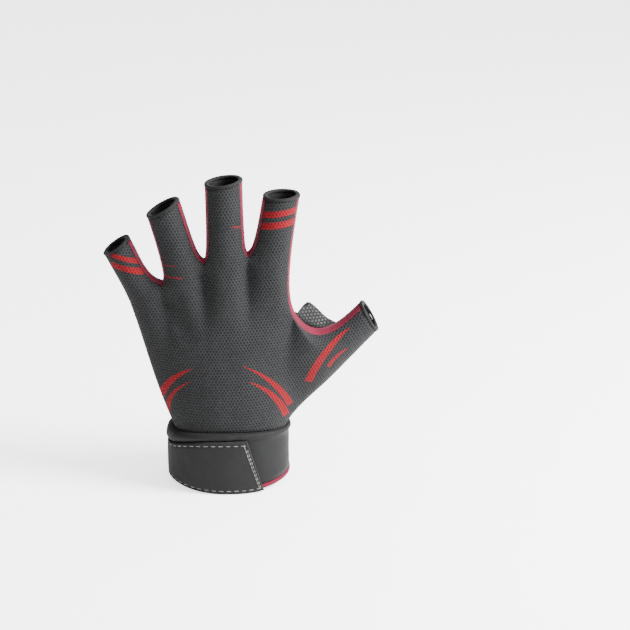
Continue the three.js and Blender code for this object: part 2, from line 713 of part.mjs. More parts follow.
// Pull loop: a flat tape that rises from the strap's edge, arches over and comes down again
function makeLoop() {
  const half = (loopWidth - loopTape) / 2;
  const low = strapTop - strapPalmDrop + seamGap;
  const top = low + loopHeight;
  const at = (side, inward, z) => new THREE.Vector2(loopCentreX + side * (half - inward), z);
  const corner = (side) => [
    at(side, loopLean, top - loopCorner), at(side, loopLean, top), at(side, loopCorner, top),
  ];
  const first = corner(1);
  const second = corner(-1).reverse();
  const path = new THREE.CurvePath();
  path.add(new THREE.LineCurve(at(1, 0, low), first[0]));
  path.add(new THREE.QuadraticBezierCurve(...first));
  path.add(new THREE.LineCurve(first[2], second[0]));
  path.add(new THREE.QuadraticBezierCurve(...second));
  path.add(new THREE.LineCurve(second[2], at(-1, 0, low)));
  const stand = rollReach + seamGap;
  const sections = path.getPoints(loopCornerSteps).map((point, k, all) => {
    const before = all[Math.max(0, k - 1)];
    const after = all[Math.min(all.length - 1, k + 1)];
    const along = after.clone().sub(before).normalize();
    const isEnd = k === 0 || k === all.length - 1;
    const side = isEnd ? new THREE.Vector2(Math.sign(along.y), 0) : new THREE.Vector2(along.y, -along.x);
    return [[-1, 0], [1, 0], [1, 1], [-1, 1]].map(([across, out]) => {
      const flat = point.clone().addScaledVector(side, (across * loopTape) / 2);
      const angle = -Math.acos(Math.abs(flat.x / (cuffWidth / 2)) ** (cuffSquareness / 2));
      const { y } = cuffOval(angle, stand + out * loopTapeWall);
      return new THREE.Vector3(flat.x, y, flat.y);
    });
  });
  return sweptSolid(sections, false);
}

const skin = buildSkin();
const skinNormals = normalsOf(skin.points, [...skin.faces.values()].flat());
for (const name of skin.faces.keys()) {
  const isGusset = name.startsWith('gusset');
  const wall = isGusset ? gussetWall : { back_panel: backWall, palm_panel: palmWall }[name];
  const material = isGusset ? 'crimson' : { back_panel: 'backCloth', palm_panel: 'palmLeather' }[name];
  addPiece(name, clothPiece(skin, skinNormals, name, wall), material);
}
for (const digit of digits) addPiece(`hem_${digit.name}`, makeHem(digit), 'hemTape');
const surface = palmSurface(skin.points, skin.faces.get('palm_panel'));
const palmTriangles = skin.faces.get('palm_panel');
const palmBlockDepth = palmWall + 3 * padCrown; // deeper than any pad's block reaches
const lifted = shifted(skin.points, padGap);
const palmBlock = toManifold(solidBetween(lifted, shifted(lifted, -palmBlockDepth), palmTriangles));
for (const pad of PADS) addPiece(pad.name, makePad(pad, surface, palmBlock), 'padLeather');
addPiece('wrist_band', makeBand(), 'neoprene');
addPiece('wrist_binding', makeBinding(), 'crimson');
addPiece('closure_strap', makeStrap(), 'neoprene');
addPiece('pull_loop', makeLoop(), 'neoprene');

export default glove;
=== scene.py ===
"""Looks of a left-hand fingerless fitness glove: cloth, leather, pads, stitches, light and camera."""
import math

import bmesh
import bpy
from mathutils import Matrix, Vector, geometry, noise
from mathutils.bvhtree import BVHTree
from mathutils.kdtree import KDTree


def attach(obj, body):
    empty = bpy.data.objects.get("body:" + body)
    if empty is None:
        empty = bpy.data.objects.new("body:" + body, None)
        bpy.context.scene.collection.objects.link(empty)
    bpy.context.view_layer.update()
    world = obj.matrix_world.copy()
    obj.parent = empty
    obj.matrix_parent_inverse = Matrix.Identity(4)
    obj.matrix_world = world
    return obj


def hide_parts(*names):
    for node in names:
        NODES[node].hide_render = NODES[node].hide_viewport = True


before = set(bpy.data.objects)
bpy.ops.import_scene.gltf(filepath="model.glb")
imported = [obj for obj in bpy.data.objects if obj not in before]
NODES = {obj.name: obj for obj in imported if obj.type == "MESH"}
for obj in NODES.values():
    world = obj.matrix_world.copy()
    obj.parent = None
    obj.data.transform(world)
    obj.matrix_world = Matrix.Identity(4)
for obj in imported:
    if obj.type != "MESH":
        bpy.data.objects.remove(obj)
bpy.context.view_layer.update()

MM = 0.001


# Sizes shared with the solid model, in millimetres

PALM_WIDTH = 97.0
GLOVE_HEIGHT = 182.5
CUFF_WIDTH = 69.0
CUFF_DEPTH = 49.0
CUFF_SQUARENESS = 2.25
CUFF_HEIGHT = 37.5
CUFF_SIDE_DROP = 2.5
RIM_SIDE_RISE = 4.5
STRAP_TOP = 33.0
STRAP_PALM_DROP = 2.5
STRAP_SIDE_DROP = 6.5
ROLL_REACH = 3.4
ROLL_REACH_THUMB = 1.2
BAND_WALL = 2.4
STRAP_WALL = 2.1
SEAM_GAP = 0.38
BINDING_HEIGHT = 3.2
BINDING_PROUD = 0.5
STRAP_END_PALM = 0.25
STRAP_END_BACK_TOP = 0.26
STRAP_END_BACK_RIM = 0.52
PAD_EDGE = 0.9
PAD_CROWN = 2.7
PAD_GAP = 0.4

# Outline of each pad going round: x as a share of the palm's width, z from the cuff's top, 0, to the tips, 1
PADS = {
    "knuckle_pad": [
        (0.288, 0.582), (0.255, 0.596), (0.18, 0.596), (0.135, 0.563), (0.084, 0.596), (-0.015, 0.599),
        (-0.111, 0.592), (-0.144, 0.573), (-0.176, 0.537), (-0.227, 0.567), (-0.278, 0.562), (-0.345, 0.529),
        (-0.387, 0.499), (-0.459, 0.49), (-0.479, 0.449), (-0.469, 0.407), (-0.361, 0.401), (-0.157, 0.424),
        (0.135, 0.44), (0.265, 0.452), (0.309, 0.495), (0.309, 0.547),
    ],
    "thumb_pad": [
        (0.298, 0.381), (0.259, 0.415), (0.174, 0.422), (0.052, 0.421), (-0.053, 0.413), (-0.085, 0.388),
        (-0.046, 0.34), (-0.001, 0.27), (0.032, 0.198), (0.054, 0.119), (0.068, 0.041), (0.119, 0.014),
        (0.222, 0.014), (0.26, 0.05), (0.256, 0.177), (0.249, 0.251), (0.278, 0.327),
    ],
    "heel_pad": [
        (-0.087, 0.045), (-0.091, 0.11), (-0.118, 0.186), (-0.151, 0.24), (-0.202, 0.279), (-0.279, 0.298),
        (-0.361, 0.295), (-0.406, 0.273), (-0.408, 0.235), (-0.371, 0.161), (-0.326, 0.088), (-0.272, 0.032),
        (-0.208, 0.013), (-0.132, 0.016),
    ],
}


# Camera, at the photograph's viewing angle: lens and sensor in millimetres, places in metres

LENS = 104.5
SENSOR = 36.0
CAMERA_PLACE = (0.0, -0.996, 0.4635)
CAMERA_AIM = (0.050, 0.0, 0.101)


def aim(obj, place, target):
    """Puts a camera or a light at its place and turns it towards the target."""
    obj.location = place
    obj.rotation_euler = (Vector(target) - Vector(place)).to_track_quat("-Z", "Y").to_euler()


def make_camera():
    data = bpy.data.cameras.new("camera")
    data.lens = LENS
    data.sensor_width = SENSOR
    camera = bpy.data.objects.new("camera", data)
    bpy.context.scene.collection.objects.link(camera)
    aim(camera, CAMERA_PLACE, CAMERA_AIM)
    bpy.context.scene.camera = camera


make_camera()


# Small helpers

def lerp(a, b, share):
    """Value at a share of the way from a to b."""
    return a + (b - a) * share


def smooth(value, low, high):
    """Soft step from 0 at the low value to 1 at the high one."""
    share = min(max((value - low) / (high - low), 0.0), 1.0)
    return share * share * (3.0 - 2.0 * share)


def link(name, mesh):
    obj = bpy.data.objects.new(name, mesh)
    bpy.context.scene.collection.objects.link(obj)
    return obj


def mesh_object(name, points, faces):
    """Smooth-shaded mesh from points in millimetres."""
    mesh = bpy.data.meshes.new(name)
    mesh.from_pydata([tuple(c * MM for c in p) for p in points], [], faces)
    mesh.update()
    mesh.shade_smooth()
    return link(name, mesh)


def outward(obj):
    """Turns all faces of a closed mesh outwards."""
    work = bmesh.new()
    work.from_mesh(obj.data)
    bmesh.ops.recalc_face_normals(work, faces=work.faces)
    work.to_mesh(obj.data)
    work.free()


def dress(obj, materials, replaced=None):
    """Gives a piece its materials, its body and the solid that it replaces, if any."""
    for material in materials:
        obj.data.materials.append(material)
    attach(obj, "root")
    if replaced:
        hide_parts(replaced)
    return obj


# Materials

class Shader:
    """A node tree in the making, around one Principled shader."""

    def __init__(self, name, **values):
        self.material = bpy.data.materials.new(name)
        self.material.use_nodes = True
        self.tree = self.material.node_tree
        self.tree.nodes.clear()
        self.shader = self.tree.nodes.new("ShaderNodeBsdfPrincipled")
        output = self.tree.nodes.new("ShaderNodeOutputMaterial")
        self.tree.links.new(self.shader.outputs[0], output.inputs[0])
        for key, value in values.items():
            self.shader.inputs[key.replace("_", " ")].default_value = value

    def add(self, kind, settings=None, **inputs):
        node = self.tree.nodes.new(kind)
        for key, value in (settings or {}).items():
            setattr(node, key, value)
        for key, value in inputs.items():
            self.put(node.inputs[key], value)
        return node

    def put(self, socket, value):
        if isinstance(value, bpy.types.NodeSocket):
            self.tree.links.new(value, socket)
        else:
            socket.default_value = value

    def math(self, operation, *values, clamp=False):
        node = self.add("ShaderNodeMath", {"operation": operation, "use_clamp": clamp})
        for socket, value in zip(node.inputs, values):
            self.put(socket, value)
        return node.outputs[0]

    def vector(self, operation, *values):
        node = self.add("ShaderNodeVectorMath", {"operation": operation})
        for socket, value in zip(node.inputs, values):
            self.put(socket, value)
        scalar = operation in ("DOT_PRODUCT", "DISTANCE", "LENGTH")
        return node.outputs["Value" if scalar else "Vector"]

    def mix(self, factor, first, second):
        """Colour between two. A mix node has a set of sockets for each data type, so they go by number."""
        node = self.add("ShaderNodeMix", {"data_type": "RGBA"})
        self.put(node.inputs[0], factor)
        self.put(node.inputs[6], first)
        self.put(node.inputs[7], second)
        return node.outputs[2]

    def tint(self, base, colour, mask, strength):
        """The base with another colour over it, as far as the mask and the strength say."""
        return self.mix(self.math("MULTIPLY", mask, strength), base, colour)

    def scalar_mix(self, factor, first, second):
        node = self.add("ShaderNodeMix", {"data_type": "FLOAT"})
        self.put(node.inputs[0], factor)
        self.put(node.inputs[2], first)
        self.put(node.inputs[3], second)
        return node.outputs[0]

    def ramp(self, value, low, high):
        """Soft step from 0 at the low value to 1 at the high one."""
        node = self.add("ShaderNodeMapRange", {"interpolation_type": "SMOOTHSTEP"})
        for index, item in enumerate((value, low, high, 0.0, 1.0)):
            self.put(node.inputs[index], item)
        return node.outputs[0]

    def place(self):
        """Place on the object, in millimetres."""
        coordinates = self.add("ShaderNodeTexCoord").outputs["Object"]
        return self.vector("SCALE", coordinates, (0, 0, 0), (0, 0, 0), 1000.0)

    def sheet(self):
        """Place on the unrolled cloth, in millimetres."""
        return self.add("ShaderNodeUVMap", {"uv_map": "cloth"}).outputs[0]

    def noise(self, vector, size, detail=2.0, roughness=0.5):
        node = self.add(
            "ShaderNodeTexNoise", Vector=vector, Scale=1.0 / size, Detail=detail, Roughness=roughness)
        return node.outputs[0]

    def cells(self, vector, size, feature="F1"):
        node = self.add("ShaderNodeTexVoronoi", {"feature": feature}, Vector=vector, Scale=1.0 / size)
        return node.outputs["Distance"]

    def bands(self, vector, scale, distortion):
        """Diagonal bands, such as the ribs of a tape or the ply of a thread."""
        settings = {"wave_type": "BANDS", "bands_direction": "DIAGONAL"}
        node = self.add("ShaderNodeTexWave", settings, Vector=vector, Scale=scale, Distortion=distortion)
        return node.outputs[1]

    def hexagons(self, vector, pitch):
        """How near the edge of its hexagonal cell a place is: 0 in the middle, 0.5 at the edge."""
        tall = math.sqrt(3.0)
        scaled = self.vector("MULTIPLY", vector, (1.0 / pitch, 1.0 / pitch, 0.0))
        half, low = (0.5, tall / 2, 0.5), (-0.5, -tall / 2, -0.5)
        first = self.vector("WRAP", scaled, half, low)
        second = self.vector("WRAP", self.vector("ADD", scaled, (0.5, tall / 2, 0.0)), half, low)
        nearer = self.math("LESS_THAN", self.vector("LENGTH", first), self.vector("LENGTH", second))
        both = self.add("ShaderNodeMix", {"data_type": "VECTOR"})
        self.put(both.inputs[0], nearer)
        self.put(both.inputs[4], second)
        self.put(both.inputs[5], first)
        inside = self.vector("ABSOLUTE", both.outputs[1])
        split = self.add("ShaderNodeSeparateXYZ")
        self.put(split.inputs[0], inside)
        slanted = self.vector("DOT_PRODUCT", inside, (0.5, tall / 2, 0.0))
        return self.math("MAXIMUM", split.outputs[0], slanted)

    def bump(self, height, distance, strength=1.0, below=None):
        node = self.add("ShaderNodeBump", Strength=strength, Distance=distance * MM, Height=height)
        if below is not None:
            self.put(node.inputs["Normal"], below)
        return node.outputs[0]

    def finish(self, colour, roughness, normal):
        self.put(self.shader.inputs["Base Color"], colour)
        self.put(self.shader.inputs["Roughness"], roughness)
        self.put(self.shader.inputs["Normal"], normal)
        return self.material


# Pitch of the fine net on the back and of the hexagons on the palm, in millimetres
NET_PITCH = 1.9
HEXAGON_PITCH = 2.3


def back_cloth():
    s = Shader("back_cloth", Sheen_Weight=0.03, Sheen_Roughness=0.4, Specular_IOR_Level=0.1)
    place = s.place()
    edge = s.hexagons(s.sheet(), NET_PITCH)
    thread = s.ramp(edge, 0.3, 0.46)
    hole = s.math("SUBTRACT", 1.0, s.ramp(edge, 0.1, 0.3))
    soft = s.noise(place, 14.0, 3.0)
    fine = s.noise(place, 0.5)
    patchy = s.ramp(s.noise(place, 2.4), 0.35, 0.65)
    base = s.mix(s.ramp(soft, 0.35, 0.7), (0.0105, 0.0107, 0.0112, 1), (0.0135, 0.0137, 0.0143, 1))
    base = s.tint(base, (0.0245, 0.0248, 0.0258, 1), thread, s.scalar_mix(patchy, 0.3, 0.7))
    base = s.tint(base, (0.0035, 0.0035, 0.0038, 1), hole, 0.45)
    base = s.tint(base, (0.026, 0.0265, 0.0275, 1), s.ramp(fine, 0.5, 0.75), 0.2)
    red = s.mix(s.ramp(fine, 0.3, 0.8), (0.12, 0.0035, 0.0065, 1), (0.165, 0.006, 0.01, 1))
    red = s.tint(red, (0.09, 0.003, 0.005, 1), hole, 0.35)
    colour = s.mix(stripe_mask(s, place), base, red)
    height = s.math("ADD", s.ramp(edge, 0.1, 0.45), s.math("MULTIPLY", fine, 0.3))
    return s.finish(colour, s.scalar_mix(soft, 0.72, 0.86), s.bump(height, 0.4, 0.8))


# Printed stripes on the back, each along an arc that widens from its tip. Places are x and z in
# millimetres, and fullness is how soon the stripe gains its width.
SWEEPS = [
    # tip, middle, end, width, fullness
    ((-20.8, 75.5), (-33.0, 67.4), (-40.3, 54.5), 3.9, 2.2),
    ((-21.5, 67.9), (-31.7, 60.4), (-36.4, 44.8), 2.9, 1.5),
    ((6.5, 77.8), (20.8, 69.0), (35.2, 49.0), 3.7, 1.6),
    ((10.1, 68.3), (22.4, 60.2), (32.7, 42.6), 3.8, 2.0),
    ((70.8, 93.4), (56.6, 81.4), (45.8, 62.0), 4.7, 3.0),
    ((69.6, 81.4), (62.4, 76.8), (57.6, 70.6), 2.5, 3.0),
]

# Straight printed bands on the fingers
BANDS = [
    # middle, heading in degrees, length, width, strength
    ((28.4, 165.1), 7.0, 22.0, 3.5, 1.0),
    ((28.2, 158.6), 7.0, 22.0, 3.8, 1.0),
    ((-58.6, 139.4), -16.5, 17.0, 2.7, 1.0),
    ((-57.2, 133.3), -13.5, 19.0, 3.4, 1.0),
    ((-33.0, 135.6), 4.0, 8.0, 1.0, 0.4),
    ((-31.0, 128.6), 0.0, 10.0, 1.1, 0.6),
    ((6.6, 157.6), -10.0, 8.0, 1.2, 0.5),
]


def arc_through(tip, middle, end):
    """Centre and radius of the circle through three places."""
    a, b, c = Vector(tip), Vector(middle), Vector(end)
    first, second = b - a, c - a
    twice = 2 * (first.x * second.y - first.y * second.x)
    x = (second.y * first.length_squared - first.y * second.length_squared) / twice
    y = (first.x * second.length_squared - second.x * first.length_squared) / twice
    return a + Vector((x, y)), Vector((x, y)).length


def sweep_mask(s, flat, tip, middle, end, width, fullness):
    centre, radius = arc_through(tip, middle, end)
    offset = s.vector("SUBTRACT", flat, (centre.x, 0.0, centre.y))
    first, last = (Vector(tip) - centre).normalized(), (Vector(end) - centre).normalized()
    span = math.acos(first.dot(last))
    side = (last - first * first.dot(last)).normalized()
    along = s.math(
        "ARCTAN2", s.vector("DOT_PRODUCT", offset, (side.x, 0.0, side.y)),
        s.vector("DOT_PRODUCT", offset, (first.x, 0.0, first.y)))
    share = s.math("DIVIDE", along, span, clamp=True)
    thin = s.math("POWER", s.math("SUBTRACT", 1.0, share), fullness)
    half = s.math("MULTIPLY", s.math("SUBTRACT", 1.0, thin), width / 2)
    away = s.math("ABSOLUTE", s.math("SUBTRACT", s.vector("LENGTH", offset), radius))
    inside = s.ramp(s.math("SUBTRACT", half, away), -0.12, 0.12)
    within = s.math("MULTIPLY", s.ramp(along, 0.0, 0.01), s.ramp(along, span, span - 0.01))
    return s.math("MULTIPLY", inside, within)


def band_mask(s, flat, middle, heading, length, width, strength):
    turn = math.radians(heading)
    along = (math.cos(turn), 0.0, math.sin(turn))
    across = (-math.sin(turn), 0.0, math.cos(turn))
    offset = s.vector("SUBTRACT", flat, (middle[0], 0.0, middle[1]))
    far = s.math("ABSOLUTE", s.vector("DOT_PRODUCT", offset, along))
    side = s.math("ABSOLUTE", s.vector("DOT_PRODUCT", offset, across))
    ends = s.ramp(far, length / 2 + 0.3, length / 2 - 0.3)
    edges = s.ramp(side, width / 2 + 0.12, width / 2 - 0.12)
    return s.math("MULTIPLY", s.math("MULTIPLY", ends, edges), strength)


def stripe_mask(s, place):
    flat = s.vector("MULTIPLY", place, (1.0, 0.0, 1.0))
    masks = [sweep_mask(s, flat, *stripe) for stripe in SWEEPS]
    masks += [band_mask(s, flat, *stripe) for stripe in BANDS]
    total = 0.0
    for mask in masks:
        total = s.math("MAXIMUM", total, mask)
    return total


def palm_leather():
    s = Shader("palm_leather", Specular_IOR_Level=0.2)
    place = s.place()
    plate = s.math("SUBTRACT", 1.0, s.ramp(s.hexagons(s.sheet(), HEXAGON_PITCH), 0.33, 0.46))
    soft = s.noise(place, 11.0, 3.0)
    fine = s.noise(place, 0.4)
    top = s.mix(s.ramp(soft, 0.35, 0.7), (0.015, 0.0153, 0.0158, 1), (0.024, 0.0245, 0.0253, 1))
    colour = s.mix(plate, (0.005, 0.005, 0.0053, 1), top)
    rough = s.scalar_mix(plate, 0.85, s.scalar_mix(soft, 0.46, 0.6))
    height = s.math("ADD", plate, s.math("MULTIPLY", fine, 0.25))
    return s.finish(colour, rough, s.bump(height, 0.28, 0.8))


def crimson_cloth():
    s = Shader("crimson_cloth", Sheen_Weight=0.1, Sheen_Roughness=0.4, Specular_IOR_Level=0.15)
    s.shader.inputs["Sheen Tint"].default_value = (1.0, 0.55, 0.62, 1.0)
    place = s.place()
    soft = s.noise(place, 9.0, 3.0)
    knit = s.cells(place, 0.55)
    fine = s.noise(place, 0.3)
    colour = s.mix(s.ramp(soft, 0.3, 0.75), (0.09, 0.003, 0.015, 1), (0.13, 0.005, 0.022, 1))
    colour = s.tint(colour, (0.06, 0.002, 0.009, 1), s.ramp(knit, 0.3, 0.7), 0.45)
    height = s.math("ADD", s.math("MULTIPLY", knit, -1.0), s.math("MULTIPLY", fine, 0.3))
    return s.finish(colour, s.scalar_mix(soft, 0.68, 0.82), s.bump(height, 0.18, 0.5))


def pad_leather():
    s = Shader("pad_leather", Specular_IOR_Level=0.32, Coat_Weight=0.04, Coat_Roughness=0.3)
    place = s.place()
    soft = s.noise(place, 9.0, 4.0, 0.6)
    crease = s.cells(s.vector("MULTIPLY", place, (1.0, 1.0, 0.6)), 1.9, "DISTANCE_TO_EDGE")
    grain = s.cells(place, 0.6, "DISTANCE_TO_EDGE")
    fine = s.noise(place, 0.35)
    colour = s.mix(s.ramp(soft, 0.35, 0.7), (0.008, 0.008, 0.0083, 1), (0.017, 0.017, 0.0175, 1))
    colour = s.mix(s.ramp(crease, 0.12, 0.0), colour, (0.01, 0.01, 0.0105, 1))
    rough = s.scalar_mix(s.ramp(soft, 0.3, 0.75), 0.52, 0.32)
    low = s.bump(s.noise(place, 3.2, 4.0, 0.6), 0.9, 0.5)
    middle = s.bump(s.ramp(crease, 0.0, 0.2), 0.16, 0.6, low)
    height = s.math("ADD", s.ramp(grain, 0.0, 0.2), s.math("MULTIPLY", fine, 0.4))
    return s.finish(colour, rough, s.bump(height, 0.06, 0.6, middle))


def neoprene():
    s = Shader("neoprene", Sheen_Weight=0.04, Sheen_Roughness=0.5, Specular_IOR_Level=0.12)
    place = s.place()
    soft = s.noise(place, 12.0, 3.0)
    weave = s.cells(s.vector("MULTIPLY", place, (1.0, 1.0, 1.6)), 0.55)
    fine = s.noise(place, 0.3)
    colour = s.mix(s.ramp(soft, 0.3, 0.75), (0.0085, 0.0087, 0.009, 1), (0.0115, 0.0117, 0.0121, 1))
    colour = s.tint(colour, (0.005, 0.005, 0.0053, 1), s.ramp(weave, 0.35, 0.75), 0.3)
    height = s.math("ADD", s.math("MULTIPLY", weave, -1.0), s.math("MULTIPLY", fine, 0.5))
    low = s.bump(s.noise(place, 7.0), 0.6, 0.4)
    return s.finish(colour, s.scalar_mix(soft, 0.62, 0.78), s.bump(height, 0.12, 0.5, low))


def dark_tape_and_roll_shade():
    s = Shader("dark_tape_and_roll_shade", Sheen_Weight=0.03, Specular_IOR_Level=0.15)
    place = s.place()
    soft = s.noise(place, 6.0)
    rib = s.bands(place, 0.55, 0.6)
    fine = s.noise(place, 0.3)
    # Dark ribbed tape of the hems and the pull loop; on the band's roll the same dark colour is painted
    # shade.
    colour = s.mix(rib, (0.004, 0.004, 0.0043, 1), (0.009, 0.009, 0.0094, 1))
    height = s.math("ADD", rib, s.math("MULTIPLY", fine, 0.6))
    return s.finish(colour, s.scalar_mix(soft, 0.6, 0.78), s.bump(height, 0.15, 0.5))


def lining_with_painted_shade():
    s = Shader("lining_with_painted_shade", Sheen_Weight=0.03, Specular_IOR_Level=0.12)
    place = s.place()
    loop = s.cells(place, 0.8)
    soft = s.noise(place, 5.0)
    # Darker than the outer cloth: partly a lining's own tone and partly painted shade of the glove's hollow,
    # also on the crimson gussets' inner side.
    colour = s.mix(s.ramp(loop, 0.2, 0.8), (0.012, 0.012, 0.0125, 1), (0.004, 0.004, 0.0045, 1))
    return s.finish(colour, s.scalar_mix(soft, 0.8, 0.92), s.bump(loop, 0.2, 0.6))


def thread(name, light, dark):
    s = Shader(name, Specular_IOR_Level=0.4, Sheen_Weight=0.1)
    place = s.place()
    soft = s.noise(place, 6.0)
    ply = s.bands(place, 1.1, 0.4)
    colour = s.mix(s.ramp(soft, 0.3, 0.75), dark, light)
    colour = s.tint(colour, (0.05, 0.05, 0.048, 1), ply, 0.35)
    return s.finish(colour, s.scalar_mix(soft, 0.55, 0.7), s.bump(ply, 0.08, 0.5))


BACK = back_cloth()
PALM = palm_leather()
CRIMSON = crimson_cloth()
PAD = pad_leather()
NEOPRENE = neoprene()
TAPE_AND_ROLL_SHADE = dark_tape_and_roll_shade()
LINING_WITH_PAINTED_SHADE = lining_with_painted_shade()
THREAD = thread("thread", (0.4, 0.39, 0.37, 1), (0.27, 0.265, 0.25, 1))
GREY_THREAD = thread("grey_thread", (0.2, 0.195, 0.19, 1), (0.12, 0.118, 0.113, 1))


# Cloth pieces: quads from the solid's faces, smoothed between their seams

def seam_edges(work, angle):
    """Edges at which the surface bends by more than the angle."""
    return [e for e in work.edges if len(e.link_faces) == 2 and e.calc_face_angle(0.0) > angle]


def face_regions(work, borders):
    """Groups of faces between the borders, from the largest area to the smallest."""
    stops, regions, seen = set(borders), [], set()
    for first in work.faces:
        if first in seen:
            continue
        seen.add(first)
        region, queue = [], [first]
        while queue:
            face = queue.pop()
            region.append(face)
            for edge in face.edges:
                if edge in stops:
                    continue
                for other in edge.link_faces:
                    if other not in seen:
                        seen.add(other)
                        queue.append(other)
        regions.append(region)
    return sorted(regions, key=lambda r: -sum(f.calc_area() for f in r))


def walls_of(names):
    """Tree of the faces of several solids together, to find what a ray meets."""
    points, triangles = [], []
    for name in names:
        mesh = NODES[name].data
        mesh.calc_loop_triangles()
        start = len(points)
        points += [v.co.copy() for v in mesh.vertices]
        triangles += [tuple(start + i for i in t.vertices) for t in mesh.loop_triangles]
    return BVHTree.FromPolygons(points, triangles)


WALLS = walls_of([
    "back_panel", "palm_panel", "gusset_little_ring", "gusset_ring_middle", "gusset_middle_index",
    "gusset_index_thumb"])


def faces_in(region):
    """Whether most of the faces look into the hollow, with a wall both at the back and at the palm."""
    inward = 0
    for face in region:
        origin = face.calc_center_median() + face.normal * 0.5 * MM
        walled = all(WALLS.ray_cast(origin, Vector((0, way, 0)))[0] for way in (-1, 1))
        inward += 1 if walled else -1
    return inward > 0


def spread_rims(faces, reach):
    """Moves the rims of a sheet outwards, so that it nearly meets the piece beyond the seam."""
    moves = {}
    for face in faces:
        for vert in face.verts:
            moves[vert] = moves.get(vert, Vector()) + face.normal * face.calc_area()
    for vert, move in moves.items():
        vert.co += move.normalized() * reach * MM


def cloth(node, material, inside=LINING_WITH_PAINTED_SHADE, crease=0.85, seam=50.0, spread=0.3):
    """A piece in place of a solid: its outer side has the material, and its inner side a dark inside
    material, if any, which is partly painted shade of the hollow.

    Crease is how sharp its edges stay, seam is the least angle of an edge in degrees, and spread is how far
    its rims move outwards, in millimetres.
    """
    work = bmesh.new()
    work.from_mesh(NODES[node].data)
    bmesh.ops.remove_doubles(work, verts=work.verts, dist=0.01 * MM)
    limit = math.radians(38.0)
    bmesh.ops.join_triangles(
        work, faces=work.faces, angle_face_threshold=limit, angle_shape_threshold=math.radians(120.0))
    layer = work.edges.layers.float.new("crease_edge")
    borders = seam_edges(work, math.radians(seam))
    for edge in borders:
        edge[layer] = crease
        edge.seam = True
    regions = face_regions(work, borders)
    spread_rims([f for region in regions[2:] for f in region], spread)
    for region in regions:
        # Faces that look into the hollow get the dark inside material, partly painted shade.
        side = 1 if inside and faces_in(region) else 0
        for face in region:
            face.material_index = side
    mesh = bpy.data.meshes.new(node + "_cloth")
    work.to_mesh(mesh)
    work.free()
    mesh.shade_smooth()
    obj = link(node + "_cloth", mesh)
    unroll(obj)
    modifier = obj.modifiers.new("smooth", "SUBSURF")
    modifier.levels = modifier.render_levels = 2
    apply_modifiers(obj)
    materials = [material, inside] if inside else [material]
    return dress(obj, materials, node)


def apply_modifiers(obj):
    """Puts the smoothed mesh in place of the plain one."""
    graph = bpy.context.evaluated_depsgraph_get()
    baked = bpy.data.meshes.new_from_object(obj.evaluated_get(graph))
    old = obj.data
    obj.modifiers.clear()
    obj.data = baked
    bpy.data.meshes.remove(old)


def unroll(obj):
    """Flattens the cloth between its seams, at true size in millimetres and upright."""
    mesh = obj.data
    while mesh.uv_layers:
        mesh.uv_layers.remove(mesh.uv_layers[0])
    mesh.uv_layers.new(name="cloth")
    bpy.context.view_layer.objects.active = obj
    obj.select_set(True)
    bpy.ops.object.mode_set(mode="EDIT")
    bpy.ops.mesh.select_all(action="SELECT")
    bpy.ops.uv.unwrap(method="ANGLE_BASED", margin=0.0)
    bpy.ops.object.mode_set(mode="OBJECT")
    obj.select_set(False)
    work = bmesh.new()
    work.from_mesh(mesh)
    uv = work.loops.layers.uv.active
    seams = [e for e in work.edges if e.seam]
    for region in face_regions(work, seams):
        loops = [l for f in region for l in f.loops]
        flat = [Vector((l.vert.co.x, l.vert.co.z)) for l in loops]
        middle = sum(flat, Vector((0, 0))) / len(flat)
        centre = sum((l[uv].uv for l in loops), Vector((0, 0))) / len(loops)
        a = b = 0.0
        for loop, point in zip(loops, flat):
            u, p = loop[uv].uv - centre, point - middle
            a += u.x * p.x + u.y * p.y
            b += u.x * p.y - u.y * p.x
        turn = math.atan2(b, a)
        solid = sum(f.calc_area() for f in region)
        paper = sum(abs(uv_area(f, uv)) for f in region)
        scale = math.sqrt(solid / max(paper, 1e-12)) / MM
        spin = Matrix.Rotation(turn, 2)
        for loop in loops:
            loop[uv].uv = spin @ (loop[uv].uv - centre) * scale
    work.to_mesh(mesh)
    work.free()


def uv_area(face, uv):
    """Area of a face on the flat sheet, negative if it lies upside down."""
    points = [l[uv].uv for l in face.loops]
    total = 0.0
    for p, q in zip(points, points[1:] + points[:1]):
        total += p.x * q.y - q.x * p.y
    return total / 2


# Valleys of the back between the fingers' tendons: top and foot as x and z, width and depth, in millimetres
VALLEYS = [
    ((-36.5, 122.0), (-19.5, 84.0), 5.2, 2.4),
    ((-13.8, 137.0), (-12.8, 96.0), 4.6, 1.8),
    ((11.2, 139.0), (9.3, 98.0), 4.6, 1.6),
]


def valley_depth(x, z):
    """How far the back is pressed in at a place, in millimetres."""
    total = 0.0
    for top, foot, width, depth in VALLEYS:
        way = Vector(foot) - Vector(top)
        offset = Vector((x, z)) - Vector(top)
        share = offset.dot(way) / way.length_squared
        aside = abs(offset.x * way.y - offset.y * way.x) / way.length
        ends = smooth(share, 0.03, 0.22) * (1.0 - smooth(share, 0.45, 1.0))
        total += depth * ends * math.exp(-((aside / width) ** 2))
    return total


palm = cloth("palm_panel", PALM)
back = cloth("back_panel", BACK)
for vert in back.data.vertices:
    vert.co.y += valley_depth(vert.co.x / MM, vert.co.z / MM) * MM
for name in ("little_ring", "ring_middle", "middle_index", "index_thumb"):
    cloth("gusset_" + name, CRIMSON)
for name in ("little", "ring", "middle", "index", "thumb"):
    cloth("hem_" + name, TAPE_AND_ROLL_SHADE, inside=None, crease=0.5, seam=25.0, spread=0.22)


# Stitches

def run_lengths(points):
    """Length of the way along the points, up to each of them."""
    lengths = [0.0]
    for a, b in zip(points, points[1:]):
        lengths.append(lengths[-1] + (b - a).length)
    return lengths


